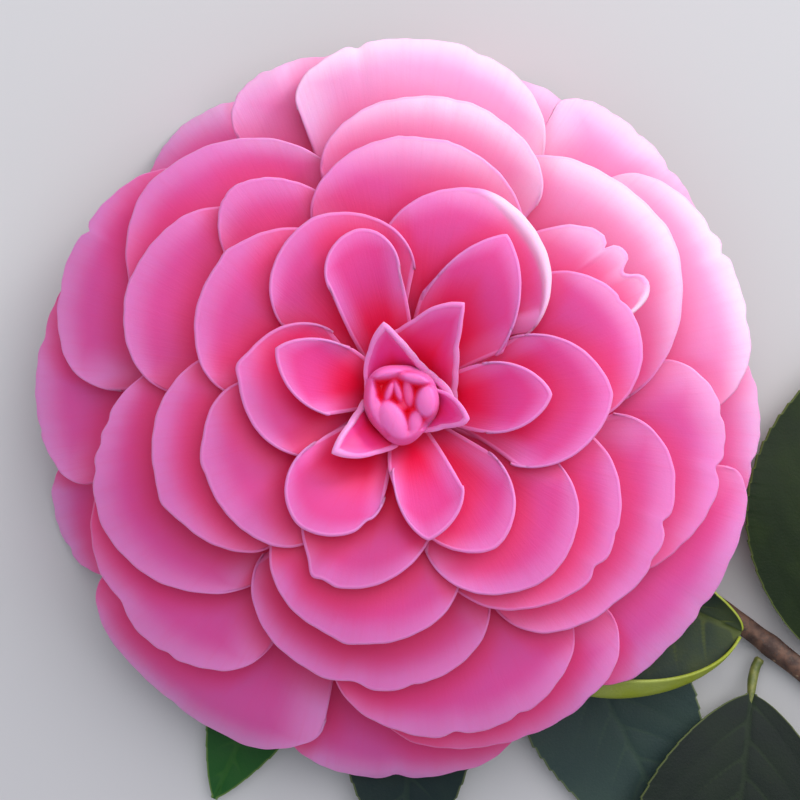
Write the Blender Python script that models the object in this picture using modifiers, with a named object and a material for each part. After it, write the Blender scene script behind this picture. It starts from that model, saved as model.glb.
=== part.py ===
"""A formal double camellia bloom, cut on a short leafy twig and lying face up.

Metres, +Z up. The bloom faces +Z, and the twig and its leaves lie under it on the
ground. Every petal follows one bowl of a nested family, so each lies under the
petals inside it without touching them. The whole spray is set down with its box
centred over the origin, at ground level.
"""

import math

import bmesh
import bpy
from mathutils import Vector

MM = 0.001

# Driving sizes, in millimetres and degrees
TOUCHING_GAP = 0.3
PETAL_THICK_SHARE = 0.0105
PETAL_THICK_LEAST = 0.34
DOME_RADIUS = 55.0
DOME_HEIGHT = 43.0
DOME_FOOT = -1.0
DOME_FULLNESS = 0.95
CORE_RADIUS = 7.5
CORE_HEIGHT = 18.5
CORE_Z = 12.0
CORE_SKIN = 0.5
STALK_RADIUS = 2.6
SEPAL_REACH = 13.0
SEPAL_THICK = 0.7
TWIG_RADIUS_TIP = 1.35
TWIG_RADIUS_CUT = 1.5
BLADE_THICK = 0.8

# How the bowls run, from the innermost to the outermost: where each starts on the
# core and ends on the dome, as angles from the axis, and its slope where it starts.
# Each ends steeper than the dome by the shingle angle, and more so at the heart.
FOOT_ANGLES = (20.0, 98.0)
RIM_ANGLES = (10.5, 86.0)
LEAVING_SLOPES = (84.0, 5.0)
SHINGLE_ANGLE = 11.0
HEART_ANGLE = 20.0
HEART_LEVELS = 0.3
CLAW_ANGLES = (36.0, 20.0)
CLAW_LEVELS = 0.33
NOTCH_HALF_WIDTH = 0.16

# The petals from the heart out, in the order in which they overlap: name, azimuth
# of the tip, reach from the bloom's axis, half widths to the left and the right of
# it, share of the length that the rounded end takes, squareness of that end (1 is a
# point, 2 an ellipse), depth of the notch in it as a share of the length, and sag of
# the tip.
PETALS = (
    ("a1", 342, 9.4, 4.4, 5.0, 0.38, 1.10, 0.0, 0.0),
    ("a2", 104, 11.3, 4.6, 3.6, 0.38, 1.05, 0.0, 0.0),
    ("a3", 216, 11.6, 4.8, 3.8, 0.38, 1.10, 0.0, 0.0),
    ("b1", 57, 14.9, 6.4, 4.6, 0.38, 1.20, 0.0, 0.0),
    ("b2", 157, 18.2, 5.8, 4.0, 0.42, 1.20, 0.0, 0.0),
    ("b3", 281, 18.6, 5.0, 3.8, 0.36, 1.30, 0.0, 0.0),
    ("b4", 3, 19.9, 4.8, 4.8, 0.38, 1.30, 0.0, 0.0),
    ("b5", 230, 21.4, 6.8, 5.8, 0.38, 1.60, 0.0, 0.0),
    ("b6", 105, 23.8, 5.5, 4.3, 0.26, 1.70, 0.0, 0.0),
    ("c1", 169, 22.1, 9.8, 8.0, 0.40, 1.50, 0.0, 0.0),
    ("c2", 303, 23.1, 6.4, 6.8, 0.42, 1.50, 0.0, 0.0),
    ("c3", 58, 26.4, 5.2, 7.8, 0.48, 1.10, 0.0, 0.0),
    ("c4", 250, 26.3, 9.6, 7.6, 0.44, 1.40, 0.0, 0.0),
    ("c5", 116, 27.4, 10.0, 9.8, 0.36, 1.60, 0.0, 0.0),
    ("c6", 2, 28.2, 8.4, 9.3, 0.42, 1.40, 0.0, 0.0),
    ("d1", 206, 28.1, 11.3, 12.0, 0.30, 1.90, 0.0, 0.0),
    ("d2", 66, 30.6, 11.0, 12.2, 0.42, 1.60, 0.0, 0.0),
    ("d3", 311, 30.6, 9.8, 10.6, 0.42, 1.70, 0.0, 0.0),
    ("d4", 145, 31.0, 12.4, 12.0, 0.32, 1.80, 0.0, 0.0),
    ("d5", 257, 33.0, 12.6, 12.6, 0.36, 1.80, 0.0, 0.0),
    ("d6", 17, 33.5, 10.6, 9.6, 0.36, 1.70, 0.0, 0.0),
    ("e1", 318, 35.2, 13.6, 13.8, 0.40, 1.60, 0.04, 0.0),
    ("e2", 198, 35.0, 13.4, 14.2, 0.30, 1.60, 0.0, 0.0),
    ("e3", 36, 36.0, 8.8, 7.0, 0.28, 1.70, 0.0, 0.0),
    ("e4", 87, 36.2, 13.6, 15.2, 0.32, 1.80, 0.0, 0.0),
    ("e5", 129, 37.4, 6.5, 9.4, 0.30, 1.50, 0.0, 0.0),
    ("e6", 153, 41.0, 12.8, 13.4, 0.34, 1.90, 0.0, 0.0),
    ("e7", 262, 39.8, 15.8, 17.0, 0.34, 1.80, 0.03, 0.0),
    ("f1", 326, 41.0, 15.8, 16.4, 0.34, 2.00, 0.02, 0.0),
    ("f2", 83, 42.5, 15.2, 15.6, 0.28, 1.80, 0.0, 0.0),
    ("f3", 201, 45.0, 16.0, 16.6, 0.42, 1.50, 0.0, 0.0),
    ("f4", 34, 44.0, 18.2, 19.2, 0.40, 1.50, 0.0, 0.0),
    ("f5", 283, 47.1, 15.8, 17.4, 0.33, 1.90, 0.02, 0.0),
    ("f6", 139, 46.6, 15.0, 18.0, 0.46, 1.50, 0.0, 0.0),
    ("g1", 348, 45.6, 13.4, 16.6, 0.26, 1.90, 0.03, 0.0),
    ("g2", 217, 49.0, 15.8, 16.4, 0.34, 2.00, 0.02, 0.0),
    ("g3", 88, 51.4, 14.6, 19.6, 0.34, 1.90, 0.0, 0.0),
    ("g4", 290, 50.4, 17.4, 18.0, 0.28, 2.00, 0.02, 0.0),
    ("g5", 20, 50.5, 19.2, 15.4, 0.30, 2.10, 0.0, 0.0),
    ("g6", 155, 51.2, 15.6, 16.6, 0.32, 2.00, 0.02, 0.0),
    ("h1", 326, 51.9, 18.6, 18.2, 0.16, 2.40, 0.02, 0.0),
    ("h2", 107, 50.8, 11.2, 14.8, 0.22, 2.40, 0.02, 0.0),
    ("h3", 234, 54.4, 18.8, 20.0, 0.22, 2.20, 0.0, 0.0),
    ("h4", 47, 51.0, 12.6, 15.6, 0.14, 2.60, 0.02, 0.0),
    ("h5", 174, 52.4, 16.0, 16.2, 0.24, 2.30, 0.0, 0.0),
    ("h6", 353, 51.4, 13.6, 14.6, 0.22, 2.40, 0.02, 0.0),
    ("h7", 269, 54.3, 17.4, 15.8, 0.24, 2.30, 0.02, 0.0),
    ("h8", 128, 51.8, 11.0, 12.0, 0.26, 2.00, 0.0, 10.2),
    ("h9", 201, 53.6, 9.4, 11.0, 0.32, 1.80, 0.0, 5.9),
    ("h10", 73, 50.8, 15.6, 17.6, 0.30, 2.20, 0.0, 8.4),
)
FULL_LAP = 58.0
LAP_FADE = 20.0
LEAST_STEP = 0.15

# The knobs of the unopened heart: azimuth, distance from the axis, radius, height
BUD_KNOBS = (
    (122, 2.8, 1.8, 39.3),
    (56, 2.7, 1.7, 39.1),
    (9, 2.7, 1.9, 39.5),
    (309, 2.4, 1.6, 39.0),
    (258, 2.6, 1.7, 39.2),
    (178, 2.8, 1.7, 39.0),
)
BUD_FOOT_RADIUS = 1.7
BUD_NECK_RADIUS = 3.2
BUD_NECK_Z = 38.2

# The line of the twig over the ground, from its growing tip to its cut end
TWIG_LINE = ((-7.0, 4.0), (0.0, 0.3), (14.0, -8.4), (32.0, -20.0), (50.0, -32.6), (72.0, -50.0))

# Leaves: name, where the stalk leaves the twig as a share of its line, where the
# blade starts, azimuth and length of the blade, half width, heights of the blade
# at its foot, middle and tip, and how far its margins stand up.
LEAVES = (
    ("right", 0.92, (62.0, -37.4), 79, 49, 16.0, 2.6, 5.0, 2.2, 1.0),
    ("curled", 0.30, (12.0, -16.0), 335, 41.5, 15.5, 6.6, 7.0, 6.6, 2.6),
    ("lower", 0.84, (51.5, -43.0), 263, 54, 16.0, 3.0, 5.4, 1.2, 1.0),
    ("left", 0.12, (-5.5, -8.5), 246, 55, 9.5, 1.3, 1.5, 1.0, 0.8),
    ("middle", 0.20, (1.5, -12.0), 269, 58, 11.5, 2.4, 3.8, 1.4, 0.8),
    ("inner", 0.45, (17.5, -19.0), 297, 56, 13.0, 1.3, 1.4, 1.0, 0.6),
)


def clear_scene():
    for obj in list(bpy.data.objects):
        bpy.data.objects.remove(obj, do_unlink=True)


def collection(name):
    made = bpy.data.collections.new(name)
    bpy.context.scene.collection.children.link(made)
    return made


def material(name, colour, roughness):
    made = bpy.data.materials.new(name)
    made.use_nodes = True
    shader = made.node_tree.nodes["Principled BSDF"]
    shader.inputs["Base Color"].default_value = (*colour, 1.0)
    shader.inputs["Roughness"].default_value = roughness
    shader.inputs["Metallic"].default_value = 0.0
    return made


def lerp(low, high, share):
    return low + (high - low) * share


def petal_depths():
    """How deep each petal lies, from 0 to 1.

    It is a whole step under each petal above it that it fully laps, and less where
    the two lie apart.
    """
    depths = []
    for _, azimuth, *_ in PETALS:
        depth = depths[-1] + LEAST_STEP if depths else 0.0
        for above, (_, other, *_) in zip(depths, PETALS):
            apart = abs((azimuth - other + 180) % 360 - 180)
            lap = (FULL_LAP + LAP_FADE - apart) / LAP_FADE
            if lap > 0:
                depth = max(depth, above + min(1.0, lap))
        depths.append(depth)
    return [depth / depths[-1] for depth in depths]


def bowl(level):
    """The control points (radius, height) of the bowl that a petal follows out from the core.

    Level 0 is the innermost petal and 1 the outermost.
    """
    foot = math.radians(lerp(*FOOT_ANGLES, level))
    start = Vector(
        (
            CORE_RADIUS * math.sin(foot),
            CORE_Z + CORE_HEIGHT * math.cos(foot),
        )
    )
    rim = math.radians(lerp(*RIM_ANGLES, level))
    end = Vector(
        (
            DOME_RADIUS * math.sin(rim),
            DOME_FOOT + DOME_HEIGHT * math.cos(rim) ** DOME_FULLNESS,
        )
    )
    dome_slope = -math.atan(DOME_HEIGHT / DOME_RADIUS * math.tan(rim))
    leaving = math.radians(lerp(*LEAVING_SLOPES, level))
    heart = HEART_ANGLE * max(0.0, 1 - level / HEART_LEVELS)
    arriving = dome_slope + math.radians(SHINGLE_ANGLE + heart)
    third = (end - start).length / 3
    return (
        start,
        start + third * Vector((math.cos(leaving), math.sin(leaving))),
        end - third * Vector((math.cos(arriving), math.sin(arriving))),
        end,
    )


def along(points, share):
    """The point at this share of a cubic Bezier curve."""
    first, second, third, last = points
    rest = 1 - share
    return (
        rest**3 * first
        + 3 * rest**2 * share * second
        + 3 * rest * share**2 * third
        + share**3 * last
    )


def share_at_radius(points, radius):
    """The share of the curve at which it reaches this radius, by halving."""
    low, high = 0.5, 1.25
    for _ in range(30):
        middle = (low + high) / 2
        if along(points, middle)[0] < radius:
            low = middle
        else:
            high = middle
    return low


def sheet(name, columns, rows, place, thick, where):
    """A leaf or petal: each point of a grid goes to place(across, outward), and gets a thickness.

    Across runs from -1 to 1 and outward from 0 to 1.
    """
    mesh = bpy.data.meshes.new(name)
    grid = bmesh.new()
    bmesh.ops.create_grid(grid, x_segments=columns, y_segments=rows, size=1.0)
    for vertex in grid.verts:
        across = math.sin(vertex.co.x * math.pi / 2)
        vertex.co = place(across, (vertex.co.y + 1) / 2) * MM
    grid.to_mesh(mesh)
    grid.free()
    obj = bpy.data.objects.new(name, mesh)
    where.objects.link(obj)
    shell = obj.modifiers.new("thickness", "SOLIDIFY")
    shell.thickness = thick * MM
    shell.offset = 0.0
    shell.use_even_offset = True
    mesh.shade_smooth()
    return obj


def petal_place(level, azimuth, reach, left, right, end_share, squareness, notch, sag):
    """How a petal's grid lies on its bowl: a wedge that widens from its claw to a rounded end."""
    points = bowl(level)
    tip = share_at_radius(points, reach)
    shoulder = along(points, tip * (1 - end_share))[0]
    claw = math.radians(lerp(*CLAW_ANGLES, min(1.0, level / CLAW_LEVELS)))

    def place(across, outward):
        widest = (left if across > 0 else right) / shoulder
        side = min(1.0, abs(across))
        drop = end_share * (1 - (1 - side**squareness) ** (1 / squareness))
        drop += notch * math.exp(-((across / NOTCH_HALF_WIDTH) ** 2))
        share = tip * outward * (1 - drop * outward**2)
        radius, height = along(points, share)
        half_angle = lerp(claw, widest, math.sin(math.pi / 2 * outward) ** 1.5)
        angle = math.radians(azimuth) + across * half_angle
        return Vector(
            (
                radius * math.cos(angle),
                radius * math.sin(angle),
                height - sag * (share / tip) ** 3,
            )
        )

    return place


def curve_length(points):
    steps = 8
    knots = [along(points, step / steps) for step in range(steps + 1)]
    return sum((far - near).length for near, far in zip(knots, knots[1:]))


def make_petals(where, finish):
    inner_rows = "abcd"
    for (name, *shape), level in zip(PETALS, petal_depths()):
        length = curve_length(bowl(level))
        columns = 6 if name[0] in inner_rows else 8
        obj = sheet(
            f"petal_{name}",
            columns,
            6,
            petal_place(level, *shape),
            max(PETAL_THICK_LEAST, PETAL_THICK_SHARE * length),
            where,
        )
        obj.data.materials.append(finish)


def finished(obj, name, finish, where):
    """The piece with its modifiers applied, as one closed mesh under its final name."""
    bpy.context.view_layer.update()
    graph = bpy.context.evaluated_depsgraph_get()
    mesh = bpy.data.meshes.new_from_object(obj.evaluated_get(graph), depsgraph=graph)
    mesh.name = name
    tidy = bmesh.new()
    tidy.from_mesh(mesh)
    bmesh.ops.remove_doubles(tidy, verts=tidy.verts, dist=1e-6)
    tidy.to_mesh(mesh)
    tidy.free()
    mesh.shade_smooth()
    mesh.materials.clear()
    mesh.materials.append(finish)
    made = bpy.data.objects.new(name, mesh)
    where.objects.link(made)
    return made


def fuse(name, pieces, finish, where):
    """One closed solid from pieces that run into each other."""
    first, *others = pieces
    joined = collection(f"{name}_pieces")
    for piece in others:
        for home in list(piece.users_collection):
            home.objects.unlink(piece)
        joined.objects.link(piece)
    union = first.modifiers.new("union", "BOOLEAN")
    union.operation = "UNION"
    union.operand_type = "COLLECTION"
    union.collection = joined
    union.solver = "EXACT"
    made = finished(first, name, finish, where)
    for piece in pieces:
        bpy.data.objects.remove(piece, do_unlink=True)
    bpy.data.collections.remove(joined)
    return made


def turned(name, profile, steps, where):
    """A solid turned from a profile of (radius, height) points that starts and ends on the axis."""
    mesh = bpy.data.meshes.new(name)
    outline = bmesh.new()
    points = [outline.verts.new((radius * MM, 0, height * MM)) for radius, height in profile]
    for low, high in zip(points, points[1:]):
        outline.edges.new((low, high))
    outline.to_mesh(mesh)
    outline.free()
    obj = bpy.data.objects.new(name, mesh)
    where.objects.link(obj)
    screw = obj.modifiers.new("turn", "SCREW")
    screw.steps = steps
    screw.render_steps = steps
    screw.use_merge_vertices = True
    screw.merge_threshold = 1e-5
    screw.use_normal_calculate = True
    return obj


def ball(name, centre, sizes, segments, where):
    mesh = bpy.data.meshes.new(name)
    shape = bmesh.new()
    bmesh.ops.create_uvsphere(shape, u_segments=segments, v_segments=segments // 2, radius=MM)
    for vertex in shape.verts:
        vertex.co = Vector([c * s for c, s in zip(vertex.co, sizes)]) + Vector(centre) * MM
    shape.to_mesh(mesh)
    shape.free()
    obj = bpy.data.objects.new(name, mesh)
    where.objects.link(obj)
    return obj


def tube(name, points, radii, sides, where):
    """A round limb along points, with its own radius at each, and flat ends."""
    curve = bpy.data.curves.new(name, "CURVE")
    curve.dimensions = "3D"
    curve.bevel_depth = MM
    curve.bevel_resolution = (sides - 4) // 2
    curve.use_fill_caps = True
    spline = curve.splines.new("POLY")
    spline.points.add(len(points) - 1)
    for knot, point, radius in zip(spline.points, points, radii):
        knot.co = (*(Vector(point) * MM), 1.0)
        knot.radius = radius
    obj = bpy.data.objects.new(name, curve)
    where.objects.link(obj)
    return obj


def make_core(where, finish):
    """The cone that the petals stand on, a little inside their feet."""
    lowest = math.radians(FOOT_ANGLES[1] + 2)
    skin_radius = CORE_RADIUS - CORE_SKIN
    skin_height = CORE_HEIGHT - CORE_SKIN
    steps = 12
    angles = [lowest * step / steps for step in range(steps + 1)]
    profile = [
        (skin_radius * math.sin(angle), CORE_Z + skin_height * math.cos(angle)) for angle in angles
    ]
    foot = profile[-1][1] - 1.0
    profile += [(STALK_RADIUS, foot), (0.0, foot)]
    obj = turned("core_profile", profile, 24, where)
    finished(obj, "core", finish, where)
    bpy.data.objects.remove(obj, do_unlink=True)
    return foot


def make_bud(where, finish):
    """The unopened heart: small incurved petals, pressed into knobs on a short neck."""
    foot = CORE_Z + CORE_HEIGHT - CORE_SKIN + TOUCHING_GAP
    profile = (
        (0.0, foot),
        (BUD_FOOT_RADIUS, foot),
        (BUD_NECK_RADIUS, lerp(foot, BUD_NECK_Z, 0.7)),
        (BUD_NECK_RADIUS, BUD_NECK_Z),
        (0.0, BUD_NECK_Z + 0.4),
    )
    pieces = [turned("bud_neck", profile, 16, where)]
    for azimuth, distance, radius, height in BUD_KNOBS:
        angle = math.radians(azimuth)
        centre = (distance * math.cos(angle), distance * math.sin(angle), height)
        pieces.append(ball("bud_knob", centre, (radius, radius, 1.25 * radius), 10, where))
    fuse("bud", pieces, finish, where)


def twig_point(share):
    """A point on the twig's line, smoothed between its corners."""
    count = len(TWIG_LINE) - 1
    place = min(share * count, count - 1e-6)
    index = int(place)
    part = place - index
    before = Vector(TWIG_LINE[max(0, index - 1)])
    start = Vector(TWIG_LINE[index])
    end = Vector(TWIG_LINE[index + 1])
    after = Vector(TWIG_LINE[min(count, index + 2)])
    return (
        start
        + part * 0.5 * (end - before)
        + part**2 * (before - 2.5 * start + 2 * end - 0.5 * after)
        + part**3 * (1.5 * start - 1.5 * end + 0.5 * after - 0.5 * before)
    )


def twig_radius(share):
    return lerp(TWIG_RADIUS_TIP, TWIG_RADIUS_CUT, share)


def make_twig(where, finish):
    steps = 20
    shares = [step / steps for step in range(steps + 1)]
    radii = [twig_radius(share) for share in shares]
    points = [(*twig_point(share), radius) for share, radius in zip(shares, radii)]
    obj = tube("twig_line", points, radii, 12, where)
    finished(obj, "twig", finish, where)
    bpy.data.objects.remove(obj, do_unlink=True)


def make_calyx(core_foot, where, finish):
    """The flower's stalk and the scale-like sepals that hold the petals from below."""
    seat = 2 * twig_radius(1 / (len(TWIG_LINE) - 1)) + TOUCHING_GAP
    top = core_foot - TOUCHING_GAP
    stalk = turned(
        "stalk",
        (
            (0.0, seat),
            (STALK_RADIUS - 0.6, seat),
            (STALK_RADIUS, lerp(seat, top, 0.5)),
            (STALK_RADIUS + 1.4, top),
            (0.0, top),
        ),
        16,
        where,
    )
    pieces = [stalk]
    for turn in range(5):
        angle = math.radians(72 * turn + 20)

        def place(across, outward, angle=angle):
            radius = lerp(1.5, SEPAL_REACH, outward) * (1 - 0.22 * across**2 * outward**2)
            round_angle = angle + across * math.radians(lerp(30, 33, outward))
            height = lerp(top - 1.0, top + 0.2, outward**2)
            return Vector((radius * math.cos(round_angle), radius * math.sin(round_angle), height))

        pieces.append(sheet("sepal", 5, 4, place, SEPAL_THICK, where))
    fuse("calyx", pieces, finish, where)


def leaf_place(start, azimuth, length, half_width, foot_z, middle_z, tip_z, cup):
    """How a leaf's grid lies: an ellipse drawn out to a point, arched lengthwise and hollow across."""
    way = Vector((math.cos(math.radians(azimuth)), math.sin(math.radians(azimuth))))
    side = Vector((-way[1], way[0]))

    def place(across, outward):
        width = half_width * max(0.05, math.sin(math.pi * outward**0.9) ** 0.75)
        arch = (
            foot_z * (1 - outward) * (1 - 2 * outward)
            + middle_z * 4 * outward * (1 - outward)
            + tip_z * outward * (2 * outward - 1)
        )
        point = Vector(start) + way * length * outward + side * width * across
        hollow = cup * across**2 * (width / half_width)
        return Vector((*point, arch + hollow))

    return place


def leaf_stalk(share, foot):
    """Points from the side of the twig to the foot of the blade, leaving the bark squarely."""
    root = Vector((*twig_point(share), twig_radius(share)))
    ahead = twig_point(share + 0.01) - twig_point(share - 0.01)
    side = Vector((-ahead[1], ahead[0], 0)).normalized()
    if side.dot(foot - root) < 0:
        side = -side
    bark = root + side * (twig_radius(share) + TOUCHING_GAP)
    knee = bark + side * 1.6
    return [bark, knee, knee.lerp(foot, 0.5) + side * 0.4]


def make_leaves(where, finish):
    for name, share, start, azimuth, *shape in LEAVES:
        place = leaf_place(start, azimuth, *shape)
        blade = sheet("blade", 6, 10, place, BLADE_THICK, where)
        foot = place(0.0, 0.0) - Vector((0, 0, 0.1))
        rib = [place(0.0, step / 8) - Vector((0, 0, 0.25)) for step in range(1, 8)]
        points = leaf_stalk(share, foot) + [foot] + rib
        radii = [1.0, 1.0, 1.0] + [lerp(0.95, 0.45, step / 7) for step in range(8)]
        line = tube("rib_line", points, radii, 6, where)
        ribbed = finished(line, "rib", finish, where)
        bpy.data.objects.remove(line, do_unlink=True)
        fuse(f"leaf_{name}", [blade, ribbed], finish, where)


def settle(where):
    """Carries the spray on one empty, so that its box is centred over the origin and rests on the ground."""
    bpy.context.view_layer.update()
    graph = bpy.context.evaluated_depsgraph_get()
    corners = []
    for obj in where.objects:
        held = obj.evaluated_get(graph)
        corners += [held.matrix_world @ Vector(corner) for corner in held.bound_box]
    low = [min(corner[axis] for corner in corners) for axis in range(3)]
    high = [max(corner[axis] for corner in corners) for axis in range(3)]
    carrier = bpy.data.objects.new("spray", None)
    for obj in list(where.objects):
        obj.parent = carrier
    where.objects.link(carrier)
    carrier.location = (-(low[0] + high[0]) / 2, -(low[1] + high[1]) / 2, -low[2])


def main():
    clear_scene()
    spray = collection("camellia_spray")
    pink = material("petal_pink", (0.80, 0.12, 0.30), 0.45)
    heart = material("heart_pink", (0.72, 0.07, 0.22), 0.45)
    green = material("sepal_green", (0.25, 0.30, 0.08), 0.5)
    leaf = material("leaf_green", (0.03, 0.07, 0.02), 0.3)
    bark = material("twig_brown", (0.09, 0.05, 0.035), 0.7)
    make_petals(spray, pink)
    make_bud(spray, heart)
    core_foot = make_core(spray, green)
    make_calyx(core_foot, spray, green)
    make_twig(spray, bark)
    make_leaves(spray, leaf)
    settle(spray)


main()
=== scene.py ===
"""A formal double camellia bloom, cut on a short leafy twig and lying face up.

Sizes are in millimetres round the bloom's own axis, +Z up, until a mesh goes into the
frame in metres.
"""

import math

import bmesh
import bpy
import numpy as np
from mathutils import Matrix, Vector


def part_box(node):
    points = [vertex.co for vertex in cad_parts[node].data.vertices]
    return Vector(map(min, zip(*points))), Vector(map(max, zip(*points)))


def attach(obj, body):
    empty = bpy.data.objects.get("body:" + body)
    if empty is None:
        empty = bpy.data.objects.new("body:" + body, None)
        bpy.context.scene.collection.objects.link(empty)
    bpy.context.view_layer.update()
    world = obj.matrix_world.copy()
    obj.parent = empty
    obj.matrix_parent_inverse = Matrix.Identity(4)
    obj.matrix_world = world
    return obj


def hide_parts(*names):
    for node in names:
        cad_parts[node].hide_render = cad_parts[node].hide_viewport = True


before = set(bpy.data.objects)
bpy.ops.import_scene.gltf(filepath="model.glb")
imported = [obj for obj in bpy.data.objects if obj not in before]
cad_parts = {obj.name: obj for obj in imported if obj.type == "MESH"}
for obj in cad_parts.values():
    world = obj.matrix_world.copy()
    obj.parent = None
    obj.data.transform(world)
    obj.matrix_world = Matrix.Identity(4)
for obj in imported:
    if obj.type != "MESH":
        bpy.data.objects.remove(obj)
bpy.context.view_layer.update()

# The twig. A ripened shoot of camellia wood, brown and slightly ringed where leaves have
# stood, cut square with shears at its thick end. It lies on the ground and carries the
# bloom and six leaves.
MM = 0.001
TWIG_LINE = ((-7.0, 4.0), (0.0, 0.3), (14.0, -8.4), (32.0, -20.0), (50.0, -32.6), (72.0, -50.0))
TWIG_RADII = (1.35, 1.5)
TWIG_NODES = (0.12, 0.2, 0.3, 0.45, 0.62, 0.84, 0.92)
# Shares of the radius, the first two with their half widths as shares of the twig's length.
NODE_RING = (0.10, 0.008)
NODE_SWELL = (0.06, 0.02)
RIDGES = (0.018, 0.012)
LUMPS = 0.02
TIP_LENGTH = 1.2
CORE_TOP = 30.0

core_low, core_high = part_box("core")
to_frame = np.array(
    [
        (core_low[0] + core_high[0]) / 2 / MM,
        (core_low[1] + core_high[1]) / 2 / MM,
        core_high[2] / MM - CORE_TOP,
    ]
)


def skin(name, points, shut=False, **told):
    """A mesh from a grid of points (rows, columns, 3), with a quad between each four neighbours.

    Shut joins the last column to the first. Points that fall together, as at a pole, are
    merged. Each told array is kept at every point as an attribute, and the grid's own
    two directions are its UV map.
    """
    rows, columns = points.shape[:2]
    index = np.arange(rows * columns).reshape(rows, columns)
    if shut:
        index = np.concatenate([index, index[:, :1]], axis=1)
    quads = np.stack([index[:-1, :-1], index[1:, :-1], index[1:, 1:], index[:-1, 1:]], axis=-1)
    quads = quads.reshape(-1, 4)
    mesh = bpy.data.meshes.new(name)
    placed = (points.reshape(-1, 3) + to_frame) * MM
    mesh.from_pydata(placed.tolist(), [], quads.tolist())
    down, round_ = np.meshgrid(
        np.linspace(0, 1, index.shape[0]), np.linspace(0, 1, index.shape[1]), indexing="ij"
    )
    corners = np.stack([round_, down], axis=-1)
    corners = np.stack(
        [corners[:-1, :-1], corners[1:, :-1], corners[1:, 1:], corners[:-1, 1:]], axis=2
    )
    mesh.uv_layers.new(name="weave").data.foreach_set("uv", corners.reshape(-1))
    for word, values in told.items():
        spread = np.broadcast_to(values, (rows, columns)).astype(np.float32).reshape(-1)
        mesh.attributes.new(word, "FLOAT", "POINT").data.foreach_set("value", spread)
    tidy = bmesh.new()
    tidy.from_mesh(mesh)
    bmesh.ops.remove_doubles(tidy, verts=tidy.verts, dist=1e-8)
    bmesh.ops.dissolve_degenerate(tidy, edges=tidy.edges, dist=1e-8)
    if shut:
        bmesh.ops.recalc_face_normals(tidy, faces=tidy.faces)
    tidy.to_mesh(mesh)
    tidy.free()
    mesh.shade_smooth()
    obj = bpy.data.objects.new(name, mesh)
    bpy.context.scene.collection.objects.link(obj)
    return obj


def limb(line, radii, sides):
    """Rings of points square to a line: its point plus radius x (cosine x side + sine x up)."""
    ahead = np.gradient(line, axis=0)
    ahead /= np.linalg.norm(ahead, axis=1, keepdims=True)
    side = np.cross(ahead, (0.0, 0.0, 1.0))
    side /= np.linalg.norm(side, axis=1, keepdims=True)
    up = np.cross(side, ahead)
    turn = np.linspace(0, 2 * np.pi, sides, endpoint=False)
    radii = np.broadcast_to(np.asarray(radii).reshape(len(line), -1), (len(line), sides))
    cosine, sine = np.cos(turn)[None, :, None], np.sin(turn)[None, :, None]
    return line[:, None] + radii[..., None] * (cosine * side[:, None] + sine * up[:, None])


def twig_line(share):
    """The twig's line over the ground, a Catmull-Rom curve through its corners."""
    corners = np.array(TWIG_LINE)
    count = len(corners) - 1
    place = np.clip(np.asarray(share) * count, 0, count - 1e-6)
    index = place.astype(int)
    part = (place - index)[..., None]
    before = corners[np.maximum(0, index - 1)]
    start = corners[index]
    end = corners[index + 1]
    after = corners[np.minimum(count, index + 2)]
    return (
        start
        + part * 0.5 * (end - before)
        + part**2 * (before - 2.5 * start + 2 * end - 0.5 * after)
        + part**3 * (1.5 * start - 1.5 * end + 0.5 * after - 0.5 * before)
    )


def twig_radius(share):
    return TWIG_RADII[0] + (TWIG_RADII[1] - TWIG_RADII[0]) * share


def twig_surface(rows=260, sides=36):
    """The bark: radius times one plus a ring at each old leaf, fine ridges and low lumps.

    Both ends close on the axis, the growing end over a dome and the cut end over a
    narrow chamfer.
    """
    share = np.linspace(0, 1, rows)
    radius = twig_radius(share)
    swell = np.zeros(rows)
    for place in TWIG_NODES:
        swell += NODE_RING[0] * np.exp(-(((share - place) / NODE_RING[1]) ** 2))
        swell += NODE_SWELL[0] * np.exp(-(((share - place - 0.012) / NODE_SWELL[1]) ** 2))
    turn = np.linspace(0, 2 * np.pi, sides, endpoint=False)
    ridges = RIDGES[0] * np.sin(5 * turn[None] + 9 * share[:, None])
    ridges = ridges + RIDGES[1] * np.sin(11 * turn[None] - 31 * share[:, None])
    lumps = LUMPS * np.sin(3 * turn[None] + 70 * share[:, None]) * np.sin(133 * share[:, None])
    radii = radius[:, None] * (1 + swell[:, None] + ridges + lumps)
    line = np.column_stack([twig_line(share), radii.max(axis=1)])
    tip_turn = np.array([0.0, 0.35, 0.7, 0.9]) * np.pi / 2
    ahead = line[2] - line[0]
    tip = line[0] - np.outer(np.cos(tip_turn), ahead) / np.linalg.norm(ahead) * TIP_LENGTH
    tip_radii = radii[0] * np.sin(tip_turn)[:, None]
    away = (line[-1] - line[-3]) / np.linalg.norm(line[-1] - line[-3])
    ends = line[-1] + np.outer((0.12, 0.16, 0.18, 0.1801, 0.1802), away)
    end_radii = radii[-1] * np.array([0.985, 0.94, 0.62, 0.3, 0.0])[:, None]
    end_line = np.concatenate([line[-3:], ends])
    end_radii = np.concatenate([radii[-3:], end_radii])
    cut_end = limb(end_line, end_radii, sides)[3:]
    grid = np.concatenate([limb(tip, tip_radii, sides), limb(line, radii, sides), cut_end])
    cut = np.zeros(len(grid))
    cut[-4:] = 1.0
    return grid, cut


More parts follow.
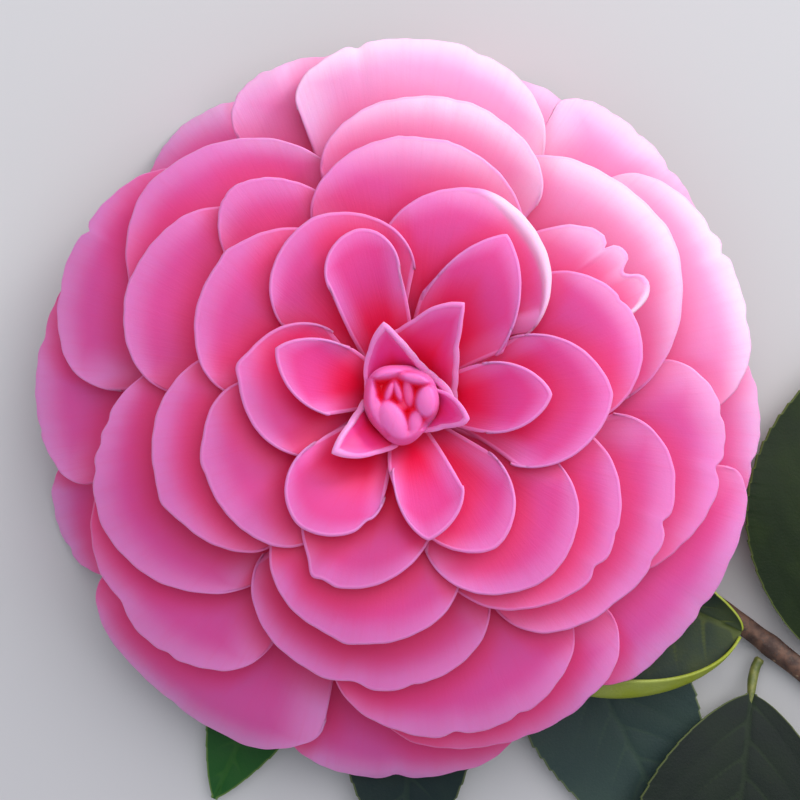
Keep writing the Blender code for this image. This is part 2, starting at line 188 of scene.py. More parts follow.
def node(tree, kind, settings=None, **inputs):
    """Adds a shader node. Underscores in an input's name stand for spaces, and n0 is its first."""
    made = tree.nodes.new(f"ShaderNode{kind}")
    for word, value in (settings or {}).items():
        setattr(made, word, value)
    for word, value in inputs.items():
        key = int(word[1:]) if word[0] == "n" and word[1:].isdigit() else word.replace("_", " ")
        socket = made.inputs[key]
        if isinstance(value, bpy.types.NodeSocket):
            tree.links.new(value, socket)
        else:
            socket.default_value = value
    return made


def sums(tree, how, first, second):
    return node(tree, "Math", {"operation": how}, n0=first, n1=second).outputs[0]


def band(tree, value, low, high, start=0.0, end=1.0):
    """A smooth step of this value from low to high."""
    made = node(
        tree,
        "MapRange",
        {"interpolation_type": "SMOOTHSTEP"},
        Value=value,
        From_Min=low,
        From_Max=high,
        To_Min=start,
        To_Max=end,
    )
    return made.outputs[0]


def blend(tree, share, first, second):
    """A mix of two colours."""
    made = node(tree, "Mix", {"data_type": "RGBA"})
    for key, value in ((0, share), (6, first), (7, second)):
        if isinstance(value, bpy.types.NodeSocket):
            tree.links.new(value, made.inputs[key])
        else:
            made.inputs[key].default_value = value
    return made.outputs[2]


def told(tree, word):
    return node(tree, "Attribute", {"attribute_name": word}).outputs["Fac"]


def grain(tree, where, scale, detail=4.0):
    made = node(
        tree, "TexNoise", None, Vector=where, Scale=scale, Detail=detail, Roughness=0.55
    )
    return made.outputs[0]


def stretched(tree, where, scale):
    return node(tree, "Mapping", None, Vector=where, Scale=scale).outputs[0]


def relief(tree, height, distance):
    return node(tree, "Bump", None, Height=height, Distance=distance, Strength=1.0).outputs[0]


def finish(name, **constants):
    """A new material: its node tree, its Principled shader and the place in the frame."""
    made = bpy.data.materials.new(name)
    made.use_nodes = True
    tree = made.node_tree
    shader = tree.nodes["Principled BSDF"]
    for word, value in constants.items():
        shader.inputs[word.replace("_", " ")].default_value = value
    where = tree.nodes.new("ShaderNodeTexCoord").outputs["Object"]
    return made, tree, shader, where


def srgb(red, green, blue):
    """A colour as the eye's 0 to 255 values, made linear."""
    value = np.array([red, green, blue]) / 255
    low = value / 12.92
    high = ((value + 0.055) / 1.055) ** 2.4
    return (*np.where(value <= 0.04045, low, high).tolist(), 1.0)


def bark_finish():
    made, tree, shader, where = finish("twig_bark", Roughness=0.7)
    coarse = grain(tree, where, 420.0, 5.0)
    fine = grain(tree, where, 1900.0, 4.0)
    warts = node(tree, "TexVoronoi", None, Vector=where, Scale=520.0).outputs["Distance"]
    spots = band(tree, warts, 0.16, 0.06)
    colour = blend(tree, band(tree, coarse, 0.35, 0.65), srgb(58, 38, 30), srgb(104, 74, 58))
    colour = blend(tree, band(tree, fine, 0.55, 0.7), colour, srgb(70, 58, 50))
    colour = blend(tree, spots, colour, srgb(150, 124, 98))
    wood = blend(
        tree,
        band(tree, grain(tree, where, 2600.0), 0.4, 0.6),
        srgb(214, 196, 150),
        srgb(176, 158, 108),
    )
    colour = blend(tree, band(tree, told(tree, "cut"), 0.3, 0.7), colour, wood)
    tree.links.new(colour, shader.inputs["Base Color"])
    lumps = sums(tree, "MULTIPLY", coarse, 0.6)
    height = sums(tree, "ADD", lumps, sums(tree, "MULTIPLY", fine, 0.3))
    height = sums(tree, "ADD", height, sums(tree, "MULTIPLY", spots, 0.25))
    tree.links.new(relief(tree, height, 0.00035), shader.inputs["Normal"])
    return made


bark = bark_finish()
surface, cut_end = twig_surface()
twig = skin("twig_bark", surface, shut=True, cut=cut_end[:, None])
twig.data.materials.append(bark)
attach(twig, "root")
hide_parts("twig")

# The leaves. Six camellia leaves, leathery and glossy dark green above, paler beneath,
# with a fine saw edge, a sunk midrib and side veins that sweep toward the tip. Each grows
# on a short stalk from the side of the twig, and one has rolled its margin back over it.
TOUCHING_GAP = 0.3
BLADE_THICK = 0.42
BLADE_ROUNDNESS = 0.75
TOOTH_PITCH = 2.1
TOOTH_DEPTH = 0.32
VEIN_PITCH = 5.2
VEIN_DEPTH = 0.035
QUILT_DEPTH = 0.025
MIDRIB_DEPTH = 0.14
MARGIN_WAVE = 0.22
LEAF_STALK_RADIUS = 0.75
MIDRIB_RADIUS = 0.42
MIDRIB_TAPER = 0.30
# Place on the twig, middle of the blade's foot, azimuth, length, half width, heights of its
# foot, middle and tip, cup, and how far its margin is rolled in.
LEAVES = {
    "right": (0.92, (62.0, -37.4), 79, 49, 16.0, 2.6, 5.0, 2.2, 1.0, 0.0),
    "curled": (0.30, (12.0, -16.0), 335, 41.5, 15.5, 6.6, 7.0, 6.6, 2.6, 3.4),
    "lower": (0.84, (51.5, -43.0), 263, 54, 16.0, 3.0, 5.4, 1.2, 1.0, 0.0),
    "left": (0.12, (-5.5, -8.5), 246, 55, 9.5, 1.3, 1.5, 1.0, 0.8, 0.0),
    "middle": (0.20, (1.5, -12.0), 269, 58, 11.5, 2.4, 3.8, 1.4, 0.8, 0.0),
    "inner": (0.45, (17.5, -19.0), 297, 56, 13.0, 1.3, 1.4, 1.0, 0.6, 0.0),
}
LEAF_GREENS = {
    "right": (srgb(22, 36, 14), srgb(74, 96, 30)),
    "curled": (srgb(40, 54, 46), srgb(140, 152, 22)),
    "lower": (srgb(16, 26, 22), srgb(58, 78, 40)),
    "left": (srgb(26, 80, 30), srgb(78, 124, 44)),
    "middle": (srgb(26, 42, 42), srgb(66, 88, 60)),
    "inner": (srgb(44, 62, 60), srgb(78, 100, 70)),
}
ROLL_TURN = math.radians(150)
ROLL_BEND = 1.5
ROLLED_ROUNDNESS = 0.5
ROLLED_FACE = 1.18
ROLLED_FAR_SIDE = 0.36


def leaf_width(outward, half_width, roundness):
    """An ellipse drawn out to a tip: half width x sine of (pi x outward^0.9), to the roundness."""
    return half_width * np.maximum(0.05, np.sin(np.pi * outward**0.9) ** roundness)


def rolled_in(distance, flat, bend):
    """A margin that rolls up and back over the blade: distance from the midrib, and height.

    It is flat, then an arc of radius bend through the roll's turn, then straight.
    """
    turn = np.clip((distance - flat) / bend, 0, ROLL_TURN)
    rest = np.maximum(distance - flat - bend * ROLL_TURN, 0)
    inward = np.minimum(distance, flat) + bend * np.sin(turn) + rest * math.cos(ROLL_TURN)
    return inward, bend * (1 - np.cos(turn)) + rest * math.sin(ROLL_TURN)


def leaf_surface(start, azimuth, length, half_width, foot_z, middle_z, tip_z, cup, roll):
    """A leaf's blade on a grid that runs across it and outward to its tip.

    Its height is a parabola through foot, middle and tip, plus the cup times across
    squared, less the groove of the midrib and of side veins that sweep toward the
    tip, plus low quilting between them. Saw teeth step the margin in and out. Roll is
    how far the right margin lies back over the blade where the leaf is widest.
    """
    outward = np.linspace(0.0, 1.0, 230)[:, None]
    sweep = np.linspace(-1.0, 1.0, 57)[None]
    across = 0.55 * sweep + 0.45 * np.sin(sweep * np.pi / 2)
    width = leaf_width(outward, half_width, ROLLED_ROUNDNESS if roll else BLADE_ROUNDNESS)
    way = np.array([math.cos(math.radians(azimuth)), math.sin(math.radians(azimuth))])
    side = np.array([-way[1], way[0]])
    mid = np.abs(across) * width
    tooth = (outward * length / TOOTH_PITCH) % 1.0
    teeth = TOOTH_DEPTH * (tooth**1.5 - 0.5) * np.abs(across) ** 6 * np.sin(np.pi * outward)
    reach = width + teeth
    arch = (
        foot_z * (1 - outward) * (1 - 2 * outward)
        + middle_z * 4 * outward * (1 - outward)
        + tip_z * outward * (2 * outward - 1)
    )
    hollow = cup * across**2 * (width / half_width)
    run = outward * length - 0.75 * mid - 0.5 * mid**2 / half_width
    phase = (run / VEIN_PITCH + 0.25 * np.sign(across)) % 1.0
    veins = np.exp(-(((phase - 0.5) / 0.09) ** 2)) * np.clip(1.25 - np.abs(across), 0, 1) ** 1.5
    quilt = np.cos(2 * np.pi * (phase - 0.5)) * np.clip(1.1 - np.abs(across), 0, 1) ** 1.2
    midrib = np.exp(-((mid / 0.5) ** 2))
    relief_mm = -VEIN_DEPTH * veins - QUILT_DEPTH * quilt - MIDRIB_DEPTH * midrib
    ripple = MARGIN_WAVE * np.abs(across) ** 3 * np.sin(outward * length / 3.1 + np.sign(across))
    height = arch + hollow + relief_mm + ripple * np.sin(np.pi * outward)
    if roll:
        slim = width / half_width
        bend = ROLL_BEND * np.sqrt(slim)
        flat = ROLLED_FACE * width - bend
        whole = flat + bend * ROLL_TURN + roll * slim**1.5
        inward, up = rolled_in(np.abs(across) * whole, flat, bend)
        rolled = inward / np.maximum(np.abs(across), 1e-6)
        reach = np.where(across < 0, rolled, ROLLED_FAR_SIDE * reach)
        height = height + np.where(across < 0, up, 0.0)
    place = np.array(start) + way * length * outward[..., None]
    place = place + side * (reach * across)[..., None]
    margin = (1 - np.abs(across)) * width
    veined = np.clip(veins + 1.4 * midrib, 0, 1)
    return np.concatenate([place, height[..., None]], axis=-1), margin, veined


def leaf_stem(share, surface):
    """The leaf's stalk and midrib: square off the bark, over a knee, then under the blade."""
    radius = twig_radius(share)
    root = np.array([*twig_line(share), radius])
    ahead = twig_line(share + 0.01) - twig_line(share - 0.01)
    side = np.array([-ahead[1], ahead[0], 0.0])
    side /= np.linalg.norm(side)
    middle = surface[:, surface.shape[1] // 2]
    foot = middle[0] - (0, 0, 0.1)
    if side @ (foot - root) < 0:
        side = -side
    bark_side = root + side * (radius * 1.04 + TOUCHING_GAP)
    knee = bark_side + side * 1.6
    halfway = (knee + foot) / 2 + side * 0.4
    along = middle[12:206:8] - (0, 0, 0.42)
    corners = np.concatenate([[bark_side, knee, halfway, foot], along])
    spaced = np.concatenate([[0], np.cumsum(np.linalg.norm(np.diff(corners, axis=0), axis=1))])
    fine = np.linspace(0, spaced[-1], 120)
    line = np.column_stack([np.interp(fine, spaced, corners[:, axis]) for axis in range(3)])
    kernel = np.ones(5) / 5
    padded = np.pad(line, ((2, 2), (0, 0)), "edge")
    line = np.column_stack([np.convolve(padded[:, axis], kernel, "valid") for axis in range(3)])
    share_out = fine / spaced[-1]
    stalk_end = spaced[3] / spaced[-1]
    radii = np.where(
        share_out < stalk_end,
        LEAF_STALK_RADIUS,
        MIDRIB_RADIUS - MIDRIB_TAPER * (share_out - stalk_end) / (1 - stalk_end),
    )
    radii = np.convolve(np.pad(radii, 4, "edge"), np.ones(9) / 9, "valid")
    radii[0] = 0.0
    radii[1] = 0.6
    radii[2] = 0.8
    radii[-1] = 0.0
    line[0] = line[1]
    line[0] -= side * 1e-3
    line[-1] = line[-2] + (line[-2] - line[-3]) * 0.1
    return limb(line, radii, 14)


def leaf_finish(name, dark, light):
    """A smooth cuticle over a mottled green, veins and margin paler."""
    made, tree, shader, where = finish(
        f"leaf_{name}_face", Specular_IOR_Level=0.15, Coat_Weight=0.04, Coat_Roughness=0.3
    )
    mottle = grain(tree, where, 140.0, 5.0)
    cells = grain(tree, where, 2600.0, 3.0)
    colour = blend(tree, band(tree, mottle, 0.3, 0.7), dark, blend(tree, 0.1, dark, light))
    colour = blend(tree, band(tree, told(tree, "veined"), 0.35, 1.0, 0.0, 0.14), colour, light)
    edge = band(tree, told(tree, "margin"), 0.35, 0.1, 0.0, 0.6)
    colour = blend(tree, edge, colour, blend(tree, 0.4, light, srgb(150, 156, 96)))
    tree.links.new(colour, shader.inputs["Base Color"])
    rough = sums(tree, "ADD", sums(tree, "MULTIPLY", mottle, 0.22), 0.34)
    tree.links.new(rough, shader.inputs["Roughness"])
    height = sums(tree, "ADD", cells, sums(tree, "MULTIPLY", mottle, 0.8))
    tree.links.new(relief(tree, height, 0.00004), shader.inputs["Normal"])
    return made


def leaf_back_finish(name, light):
    made, tree, shader, where = finish(f"leaf_{name}_back", Roughness=0.55)
    mottle = grain(tree, where, 160.0, 5.0)
    pale = blend(tree, 0.4, light, srgb(160, 172, 104))
    colour = blend(tree, band(tree, mottle, 0.3, 0.7), light, pale)
    veins = band(tree, told(tree, "veined"), 0.35, 1.0, 0.0, 0.7)
    colour = blend(tree, veins, colour, srgb(176, 184, 120))
    tree.links.new(colour, shader.inputs["Base Color"])
    tree.links.new(relief(tree, grain(tree, where, 2200.0), 0.0001), shader.inputs["Normal"])
    return made


def stalk_finish():
    made, tree, shader, where = finish("leaf_stalk_green", Roughness=0.45)
    streaks = grain(tree, where, 900.0, 4.0)
    colour = blend(tree, band(tree, streaks, 0.35, 0.65), srgb(84, 96, 40), srgb(120, 122, 60))
    tree.links.new(colour, shader.inputs["Base Color"])
    tree.links.new(relief(tree, streaks, 0.0001), shader.inputs["Normal"])
    return made


stalk_green = stalk_finish()
for leaf_name, (twig_share, *blade_shape) in LEAVES.items():
    surface, margin_mm, veined_share = leaf_surface(*blade_shape)
    blade = skin(f"leaf_{leaf_name}_blade", surface, margin=margin_mm, veined=veined_share)
    dark_green, light_green = LEAF_GREENS[leaf_name]
    blade.data.materials.append(leaf_finish(leaf_name, dark_green, light_green))
    blade.data.materials.append(leaf_back_finish(leaf_name, light_green))
    shell = blade.modifiers.new("thickness", "SOLIDIFY")
    shell.thickness = BLADE_THICK * MM
    shell.offset = 0.0
    shell.material_offset = 1
    shell.material_offset_rim = 1
    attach(blade, "root")
    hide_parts(f"leaf_{leaf_name}")
    stem = skin(f"leaf_{leaf_name}_stalk", leaf_stem(twig_share, surface), shut=True)
    stem.data.materials.append(stalk_green)
    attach(stem, "root")

# The calyx. A short green flower stalk that stands on the twig and widens into the
# seat of the bloom, with five silky scale-like sepals that lap under the outermost
# petals, brown at their edges.
STALK_RADIUS = 2.6
SEPAL_REACH = 13.0
SEPAL_THICK = 0.5
CALYX_FOOT = 2 * twig_radius(0.2) + TOUCHING_GAP
CALYX_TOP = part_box("core")[0][2] / MM - to_frame[2] - TOUCHING_GAP


def turned(profile, sides):
    """A profile of (radius, height) points carried round the bloom's axis."""
    turn = np.linspace(0, 2 * np.pi, sides, endpoint=False)[None]
    radius, height = np.array(profile).T[:, :, None]
    return np.stack([radius * np.cos(turn), radius * np.sin(turn), height + 0 * turn], axis=-1)


def sepal_surface(azimuth):
    """A scale round the stalk, on a grid outward and across it.

    Its radius grows outward, less toward its sides, and its height curls up.
    """
    outward = np.linspace(0, 1, 30)[:, None]
    across = np.linspace(-1, 1, 33)[None]
    radius = 1.5 + (SEPAL_REACH - 1.5) * outward * (1 - 0.22 * across**2 * outward)
    angle = math.radians(azimuth) + across * np.radians(30 + 3 * outward)
    height = CALYX_TOP - 1.0 + 1.2 * outward**2 + 0.12 * np.cos(across * np.pi) * outward
    height = height + 0.1 * across
    grid = np.stack([radius * np.cos(angle), radius * np.sin(angle), height], axis=-1)
    return grid, (1 - outward) * 8 + 0 * across


def sepal_finish():
    made, tree, shader, where = finish("sepal_green", Roughness=0.6, Sheen_Weight=0.5)
    mottle = grain(tree, where, 300.0)
    hairs = grain(tree, where, 2400.0)
    colour = blend(tree, band(tree, mottle, 0.3, 0.7), srgb(112, 124, 60), srgb(150, 154, 90))
    colour = blend(tree, band(tree, told(tree, "margin"), 2.2, 0.2), colour, srgb(112, 76, 48))
    tree.links.new(colour, shader.inputs["Base Color"])
    tree.links.new(relief(tree, hairs, 0.0001), shader.inputs["Normal"])
    return made


sepal_green = sepal_finish()
stalk_profile = [
    (0.0, CALYX_FOOT),
    (STALK_RADIUS - 1.0, CALYX_FOOT),
    (STALK_RADIUS - 0.6, CALYX_FOOT + 0.3),
    (STALK_RADIUS - 0.3, CALYX_FOOT + 1.2),
    (STALK_RADIUS, (CALYX_FOOT + CALYX_TOP) / 2),
    (STALK_RADIUS + 0.7, CALYX_TOP - 0.9),
    (STALK_RADIUS + 1.2, CALYX_TOP - 0.3),
    (STALK_RADIUS + 1.2, CALYX_TOP),
    (0.0, CALYX_TOP),
]
stalk = skin("flower_stalk", turned(stalk_profile, 40), shut=True, margin=5.0)
stalk.data.materials.append(sepal_green)
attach(stalk, "root")
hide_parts("calyx")
for count in range(5):
    surface, margin_mm = sepal_surface(72 * count + 20)
    sepal = skin(f"sepal_{count + 1}", surface, margin=margin_mm)
    sepal.data.materials.append(sepal_green)
    shell = sepal.modifiers.new("thickness", "SOLIDIFY")
    shell.thickness = SEPAL_THICK * MM
    shell.offset = 0.0
    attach(sepal, "root")

# The core. The fleshy cone in the middle of the bloom that all the petals grow from.
# It stays the CAD's own solid, pale green at its foot and pink where the petals leave.


def core_finish():
    made, tree, shader, where = finish("core_flesh", Roughness=0.5)
    height = node(tree, "SeparateXYZ", None, Vector=where).outputs["Z"]
    flesh = grain(tree, where, 600.0)
    colour = blend(tree, band(tree, height, 0.008, 0.022), srgb(170, 180, 110), srgb(214, 60, 104))
    colour = blend(tree, band(tree, flesh, 0.3, 0.7, 0.0, 0.25), colour, srgb(230, 150, 150))
    tree.links.new(colour, shader.inputs["Base Color"])
    tree.links.new(relief(tree, flesh, 0.0002), shader.inputs["Normal"])
    return made


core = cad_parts["core"]
core.data.materials.clear()
core.data.materials.append(core_finish())

# The petals. Fifty waxy petals stand on the core in eight rows and lap over one another
# like shingles. Each is a thin spoon, deep pink where it leaves the heart and paler
# toward a fine rolled rim, with faint veins that run out to the rim. The deep pink is partly
# painted shade, and the pale rim partly painted sky reflection and highlight.
#
# The dome is where the petals' rims lie, and the core is where they start. Angles are in
# degrees, and a pair of them runs from the innermost petal to the outermost.
DOME_RADIUS = 55.0
DOME_HEIGHT = 43.0
DOME_FOOT = -1.0
DOME_FULLNESS = 0.95
CORE_FOOT = 12.0
CORE_RADIUS = 7.5
CORE_HEIGHT = 18.5
FOOT_ANGLES = (20.0, 98.0)
RIM_ANGLES = (10.5, 86.0)
LEAVING_SLOPES = (84.0, 5.0)
SHINGLE_ANGLE = 11.0
HEART_ANGLE = 20.0
HEART_LEVELS = 0.3
CLAW_ANGLES = (36.0, 20.0)
CLAW_LEVELS = 0.33
FULL_LAP = 58.0
LAP_FADE = 20.0
LEAST_STEP = 0.15
PETAL_THICK = 0.34
# How far past the petals above a blade has its full relief, the scallop of its rim as a
# share of its reach, and the heights of its relief.
FREE_AFTER = 5
SCALLOP = 0.004
RISE = 0.30
RIPPLE = 0.16
CUP = 0.8
BEAD_RISE = 0.22
RIM_DROP = 0.12
# The azimuth that the sun came from, how fast the painted sunlight fades round the bloom,
# the distance toward it where the painted sunlight starts, and over how many more it grows.
SUNNY_SIDE = math.radians(58)
SUN_FADE = 0.78
SUNLIGHT_START = 26
SUNLIGHT_GROWTH = 16
# How far across the bloom, away from the sun, the painted shade grows to full.
SHADE_REACH = 80
# Azimuth, reach, half widths on the left and the right, share of the length that the
# rounded end takes up, its squareness, and how far the tip droops.
PETALS = {
    "a1": (342, 9.4, 4.4, 5.0, 0.38, 1.10, 0.0),
    "a2": (104, 11.3, 4.6, 3.6, 0.38, 1.05, 0.0),
    "a3": (216, 11.6, 4.8, 3.8, 0.38, 1.10, 0.0),
    "b1": (57, 14.9, 6.4, 4.6, 0.38, 1.20, 0.0),
    "b2": (157, 18.2, 5.8, 4.0, 0.42, 1.20, 0.0),
    "b3": (281, 18.6, 5.0, 3.8, 0.36, 1.30, 0.0),
    "b4": (3, 19.9, 4.8, 4.8, 0.38, 1.30, 0.0),
    "b5": (230, 21.4, 6.8, 5.8, 0.38, 1.60, 0.0),
    "b6": (105, 23.8, 5.5, 4.3, 0.26, 1.70, 0.0),
    "c1": (169, 22.1, 9.8, 8.0, 0.40, 1.50, 0.0),
    "c2": (303, 23.1, 6.4, 6.8, 0.42, 1.50, 0.0),
    "c3": (58, 26.4, 5.2, 7.8, 0.48, 1.10, 0.0),
    "c4": (250, 26.3, 9.6, 7.6, 0.44, 1.40, 0.0),
    "c5": (116, 27.4, 10.0, 9.8, 0.36, 1.60, 0.0),
    "c6": (2, 28.2, 8.4, 9.3, 0.42, 1.40, 0.0),
    "d1": (206, 28.1, 11.3, 12.0, 0.30, 1.90, 0.0),
    "d2": (66, 30.6, 11.0, 12.2, 0.42, 1.60, 0.0),
    "d3": (311, 30.6, 9.8, 10.6, 0.42, 1.70, 0.0),
    "d4": (145, 31.0, 12.4, 12.0, 0.32, 1.80, 0.0),
    "d5": (257, 33.0, 12.6, 12.6, 0.36, 1.80, 0.0),
    "d6": (17, 33.5, 10.6, 9.6, 0.36, 1.70, 0.0),
    "e1": (318, 35.2, 13.6, 13.8, 0.40, 1.60, 0.0),
    "e2": (198, 35.0, 13.4, 14.2, 0.30, 1.60, 0.0),
    "e3": (36, 36.0, 8.8, 7.0, 0.28, 1.70, 0.0),
    "e4": (87, 36.2, 13.6, 15.2, 0.32, 1.80, 0.0),
    "e5": (129, 37.4, 6.5, 9.4, 0.30, 1.50, 0.0),
    "e6": (153, 41.0, 12.8, 13.4, 0.34, 1.90, 0.0),
    "e7": (262, 39.8, 15.8, 17.0, 0.34, 1.80, 0.0),
    "f1": (326, 41.0, 15.8, 16.4, 0.34, 2.00, 0.0),
    "f2": (83, 42.5, 15.2, 15.6, 0.28, 1.80, 0.0),
    "f3": (201, 45.0, 16.0, 16.6, 0.42, 1.50, 0.0),
    "f4": (34, 44.0, 18.2, 19.2, 0.40, 1.50, 0.0),
    "f5": (283, 47.1, 15.8, 17.4, 0.33, 1.90, 0.0),
    "f6": (139, 46.6, 15.0, 18.0, 0.46, 1.50, 0.0),
    "g1": (348, 45.6, 13.4, 16.6, 0.26, 1.90, 0.0),
    "g2": (217, 49.0, 15.8, 16.4, 0.34, 2.00, 0.0),
    "g3": (88, 51.4, 14.6, 19.6, 0.34, 1.90, 0.0),
    "g4": (290, 50.4, 17.4, 18.0, 0.28, 2.00, 0.0),
    "g5": (20, 50.5, 19.2, 15.4, 0.30, 2.10, 0.0),
    "g6": (155, 51.2, 15.6, 16.6, 0.32, 2.00, 0.0),
    "h1": (326, 51.9, 18.6, 18.2, 0.16, 2.40, 0.0),
    "h2": (107, 50.8, 11.2, 14.8, 0.22, 2.40, 0.0),
    "h3": (234, 54.4, 18.8, 20.0, 0.22, 2.20, 0.0),
    "h4": (47, 51.0, 12.6, 15.6, 0.14, 2.60, 0.0),
    "h5": (174, 52.4, 16.0, 16.2, 0.24, 2.30, 0.0),
    "h6": (353, 51.4, 13.6, 14.6, 0.22, 2.40, 0.0),
    "h7": (269, 54.3, 17.4, 15.8, 0.24, 2.30, 0.0),
    "h8": (128, 51.8, 11.0, 12.0, 0.26, 2.00, 10.2),
    "h9": (201, 53.6, 9.4, 11.0, 0.32, 1.80, 5.9),
    "h10": (73, 50.8, 15.6, 17.6, 0.30, 2.20, 8.4),
}

# How far a petal's rounded end leans to its left, seen from the axis: that half's end is
# shorter by this share, and the other half's longer.
LEANS = {"b3": 0.35, "f4": 0.3, "g3": 0.3}

# Lobes and nicks of a petal's rim: place across from -1 at its right to 1 at its left,
# depth as a share of the reach (less than nothing stands out), half width across.
RIM_MARKS = {
    "b5": ((0.78, 0.03, 0.07),),
    "c1": ((-0.05, -0.03, 0.10),),
    "c4": ((-0.26, -0.045, 0.09),),
    "d1": ((-0.29, -0.02, 0.12),),
    "d4": ((-0.18, -0.02, 0.10),),
    "d5": ((0.0, -0.015, 0.10),),
    "d6": ((0.30, 0.012, 0.04),),
    "e1": ((0.04, 0.035, 0.06), (0.30, 0.008, 0.03)),
    "e2": ((0.15, -0.02, 0.12),),
    "e4": ((-0.20, -0.006, 0.03), (0.12, -0.005, 0.03)),
    "e7": ((-0.06, 0.03, 0.10), (0.32, 0.008, 0.04)),
    "f1": ((0.30, 0.035, 0.05), (0.05, 0.012, 0.05), (-0.30, 0.008, 0.05)),
    "f3": ((-0.26, 0.02, 0.05), (-0.40, 0.02, 0.05), (-0.53, 0.015, 0.05)),
    "f5": ((-0.13, 0.022, 0.06), (0.29, 0.012, 0.05)),
    "g1": ((0.0, 0.035, 0.07), (0.45, 0.012, 0.05)),
    "g2": ((-0.07, 0.02, 0.12), (0.40, 0.010, 0.05)),
    "g3": ((-0.36, 0.015, 0.05), (0.42, 0.015, 0.05)),
    "g4": ((0.03, 0.014, 0.06), (0.50, 0.012, 0.05)),
    "g5": ((0.18, 0.03, 0.035), (0.32, 0.015, 0.04), (-0.30, 0.012, 0.06)),
    "g6": ((-0.15, 0.03, 0.03), (0.30, 0.010, 0.05)),
    "h1": ((0.0, 0.02, 0.07), (0.35, 0.012, 0.05), (-0.40, 0.012, 0.05)),
    "h2": ((0.30, 0.012, 0.05), (-0.20, 0.012, 0.06)),
    "h3": ((-0.06, 0.012, 0.05), (0.35, 0.008, 0.06), (0.85, 0.055, 0.25)),
    "h4": ((0.10, 0.012, 0.05), (-0.30, 0.012, 0.05)),
    "h5": ((-0.21, 0.024, 0.07), (0.50, 0.012, 0.04)),
    "h6": ((-0.15, 0.015, 0.06), (0.40, 0.012, 0.06)),
    "h7": ((0.0, 0.028, 0.08), (0.45, 0.012, 0.05)),
    "h9": ((0.20, 0.02, 0.08), (-0.30, 0.02, 0.08)),
}

# Creases that run inward from the rim: place across, depth in millimetres, half width across.
FOLDS = {
    "f2": ((0.10, 0.16, 0.07), (-0.10, 0.18, 0.06)),
    "f3": ((-0.09, 0.22, 0.05),),
    "g3": ((0.42, 0.35, 0.06),),
    "h1": ((-0.03, 0.12, 0.06),),
    "h4": ((0.20, 0.14, 0.05),),
    "h6": ((-0.25, 0.25, 0.10),),
    "h7": ((0.0, 0.25, 0.06),),
}

# The width of the bead along a rim, and its widths on the left and the right of the petals
# whose margin is turned over. From one width on, and wholly at the other, the margin shows
# the pale back of the petal, with a painted highlight where the rolled margin catches the light.
BEAD = 0.42
BACK_SHOWS = 0.8
BACK_WHOLE = 1.4
BROAD_BEADS = {
    "a1": (0.7, 1.0),
    "a2": (0.7, 1.5),
    "a3": (0.8, 1.6),
    "b1": (0.5, 1.0),
    "d2": (BEAD, 2.2),
    "e3": (BEAD, 1.4),
}

# The petals next to the heart have straight margins that meet in a point, and e3 ends in
# three lobes. Each is the azimuth and radius of its rim's corners, from its right to its
# left, and the furthest out is its point.
STRAIGHT_RIMS = {
    "a1": (
        (262, 5.6), (270, 5.1), (294, 4.8), (312, 5.6), (330, 6.9), (341, 9.0),
        (346, 9.3), (357, 8.1), (8, 6.9), (17, 5.9), (26, 5.2),
    ),
    "a2": (
        (2, 7.0), (17, 6.6), (34, 5.9), (51, 5.8), (68, 6.3), (82, 7.4), (94, 9.0),
        (103, 11.0), (112, 9.9), (122, 8.5), (137, 7.2), (150, 6.2), (177, 5.4),
    ),
    "a3": (
        (177, 5.3), (190, 6.2), (203, 8.2), (212, 10.6), (216, 11.6),
        (221, 11.0), (233, 9.4), (242, 8.1), (251, 7.1), (264, 5.9),
    ),
    "b1": (
        (345, 7.6), (0, 7.4), (13, 7.5), (30, 8.7), (46, 10.8), (54, 13.6), (58, 15.6), (64, 14.8),
        (73, 13.2), (81, 11.4), (92, 9.9), (110, 8.6),
    ),
    "e3": (
        (17, 28.0), (20.4, 32.2), (21.8, 34.8), (22.9, 36.1), (24.3, 36.9), (25.9, 37.1),
        (27.4, 36.9), (28.4, 36.3), (29.1, 35.4), (29.8, 34.8), (30.8, 34.8), (31.6, 35.3),
        (32.4, 36.2), (33.6, 36.6), (35.4, 36.4), (36.6, 35.6), (37.0, 34.4), (37.4, 34.3),
        (37.9, 35.0), (39.6, 35.5), (42.3, 35.0), (46.4, 33.2), (50.8, 30.1), (58, 24.0),
    ),
}


def petal_levels():
    """How deep each petal lies, from 0 to 1.

    It is a whole step under each petal above it that it fully laps, and less where
    the two lie apart.
    """
    depths = []
    for azimuth, *_ in PETALS.values():
        depth = depths[-1] + LEAST_STEP if depths else 0.0
        for above, (other, *_) in zip(depths, PETALS.values()):
            apart = abs((azimuth - other + 180) % 360 - 180)
            lap = (FULL_LAP + LAP_FADE - apart) / LAP_FADE
            if lap > 0:
                depth = max(depth, above + min(1.0, lap))
        depths.append(depth)
    return np.array(depths) / depths[-1]


def between(pair, share):
    return pair[0] + (pair[1] - pair[0]) * share


def bowl(level):
    """The four Bezier points (radius, height) of the bowl that a petal at this level lies on.

    It starts on the core, at an angle from the axis that grows with the level, and ends
    on the dome, a little steeper than the dome is there.
    """
    foot = math.radians(between(FOOT_ANGLES, level))
    rim = math.radians(between(RIM_ANGLES, level))
    start = np.array([CORE_RADIUS * math.sin(foot), CORE_FOOT + CORE_HEIGHT * math.cos(foot)])
    end = np.array(
        [DOME_RADIUS * math.sin(rim), DOME_FOOT + DOME_HEIGHT * math.cos(rim) ** DOME_FULLNESS]
    )
    dome_slope = -math.atan(DOME_HEIGHT / DOME_RADIUS * math.tan(rim))
    leaving = math.radians(between(LEAVING_SLOPES, level))
    heart = HEART_ANGLE * max(0.0, 1 - level / HEART_LEVELS)
    arriving = dome_slope + math.radians(SHINGLE_ANGLE + heart)
    third = np.linalg.norm(end - start) / 3
    return (
        start,
        start + third * np.array([math.cos(leaving), math.sin(leaving)]),
        end - third * np.array([math.cos(arriving), math.sin(arriving)]),
        end,
    )


